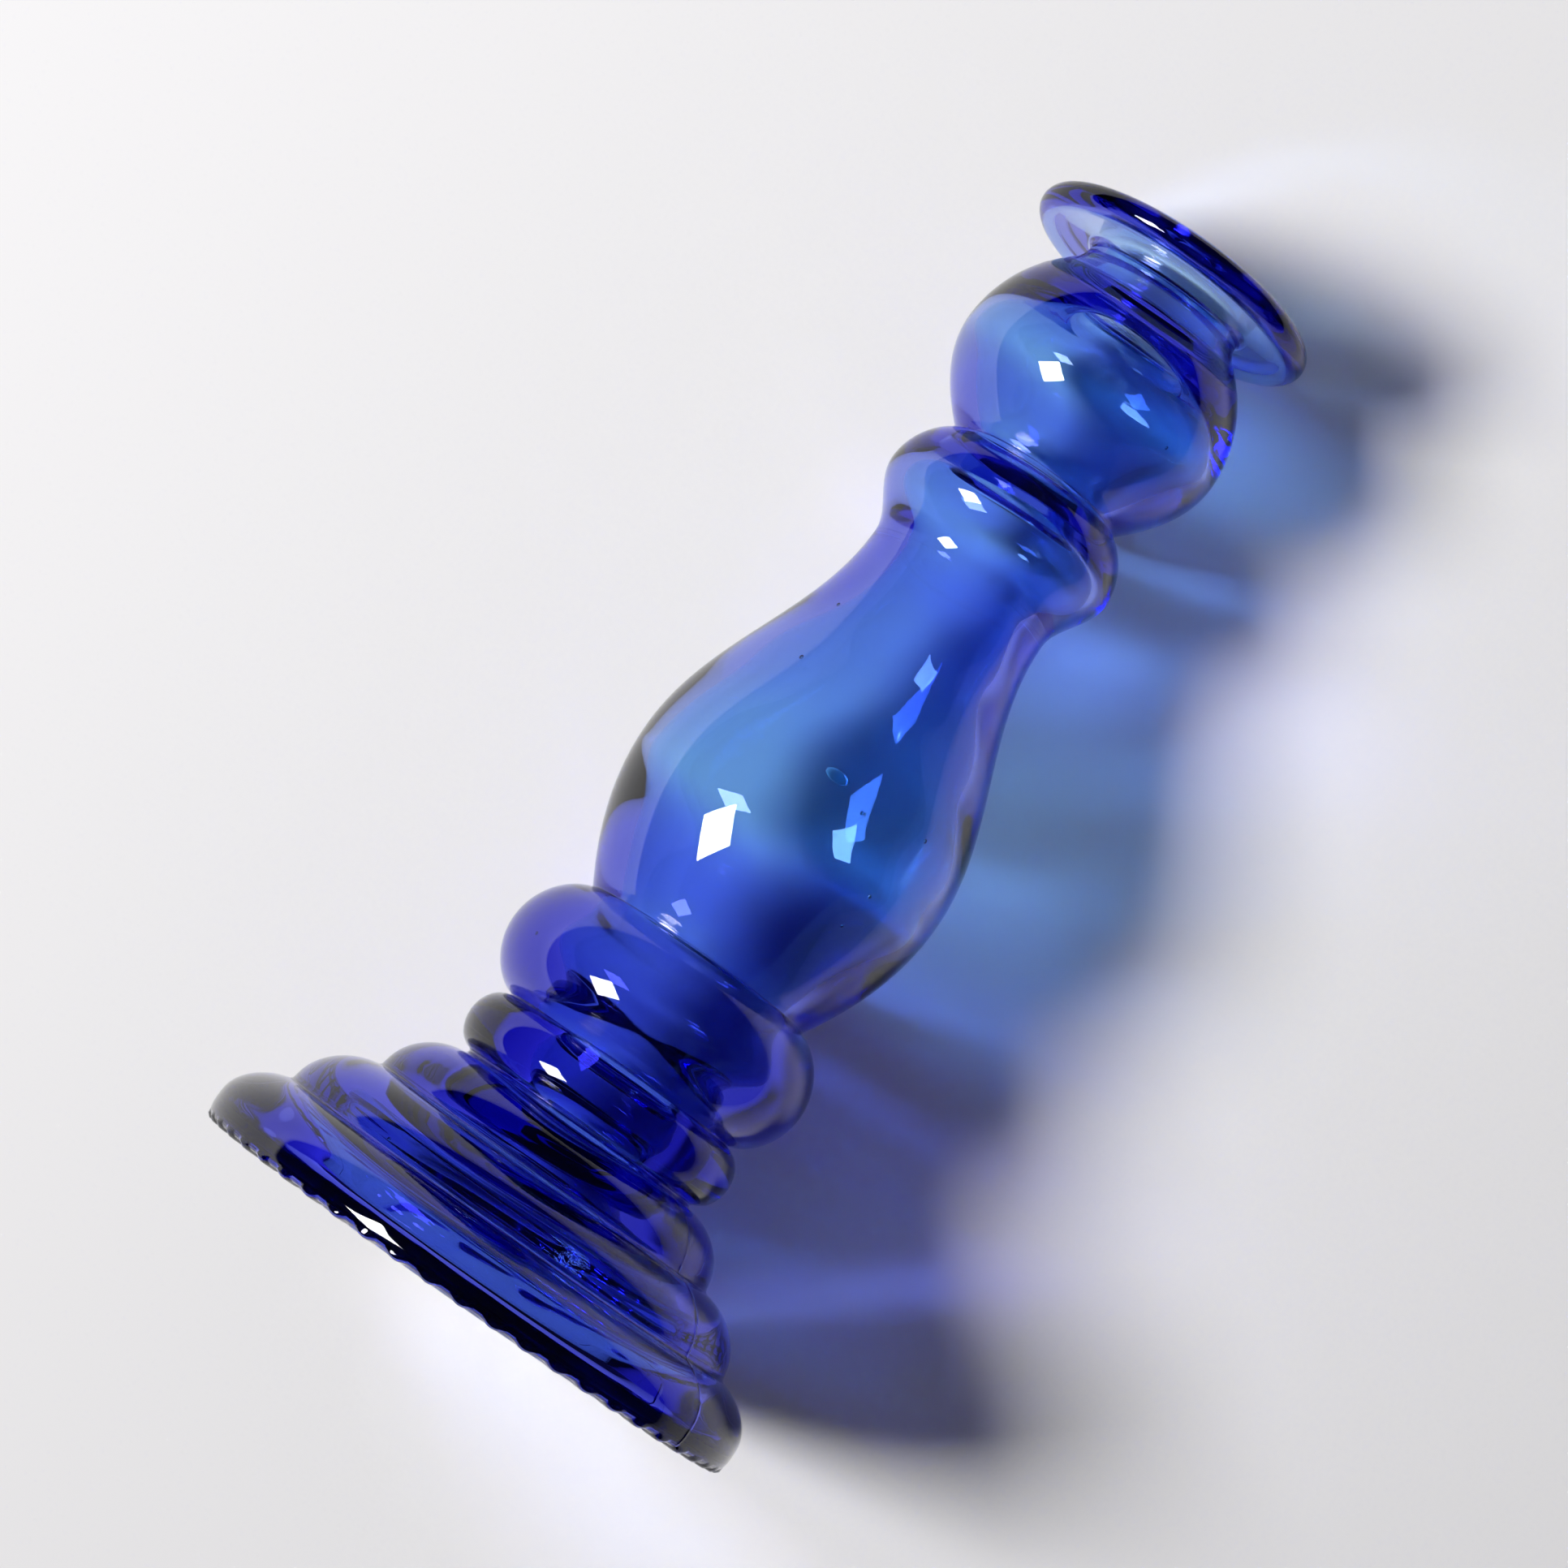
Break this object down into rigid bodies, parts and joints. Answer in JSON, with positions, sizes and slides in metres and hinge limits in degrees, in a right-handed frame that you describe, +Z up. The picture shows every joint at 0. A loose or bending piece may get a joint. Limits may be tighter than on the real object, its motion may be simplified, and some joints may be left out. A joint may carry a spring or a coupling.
{
  "type": "glass candlestick",
  "caption": "Hollow blue glass candlestick of turned form: stepped round foot, knops, baluster stem, globe, short candle socket and flared drip pan.",
  "frame": {"origin": "centre of the foot where it rests on the table", "axes": "+Z up along the turned axis, from the foot to the drip pan; the form is the same all round"},
  "size_m": [0.0978, 0.0978, 0.2],
  "materials": {
    "cobalt_glass": "clear cobalt blue blown glass with a fire-polished surface"
  },
  "bodies": {
    "root": {"base_floor": "cobalt_glass", "foot_ring": "cobalt_glass", "middle_step": "cobalt_glass", "upper_step": "cobalt_glass", "small_bead": "cobalt_glass", "ring_knop": "cobalt_glass", "baluster_stem": "cobalt_glass", "collar_knop": "cobalt_glass", "globe_knop": "cobalt_glass", "candle_socket": "cobalt_glass", "drip_pan": "cobalt_glass"}
  },
  "joints": []
}
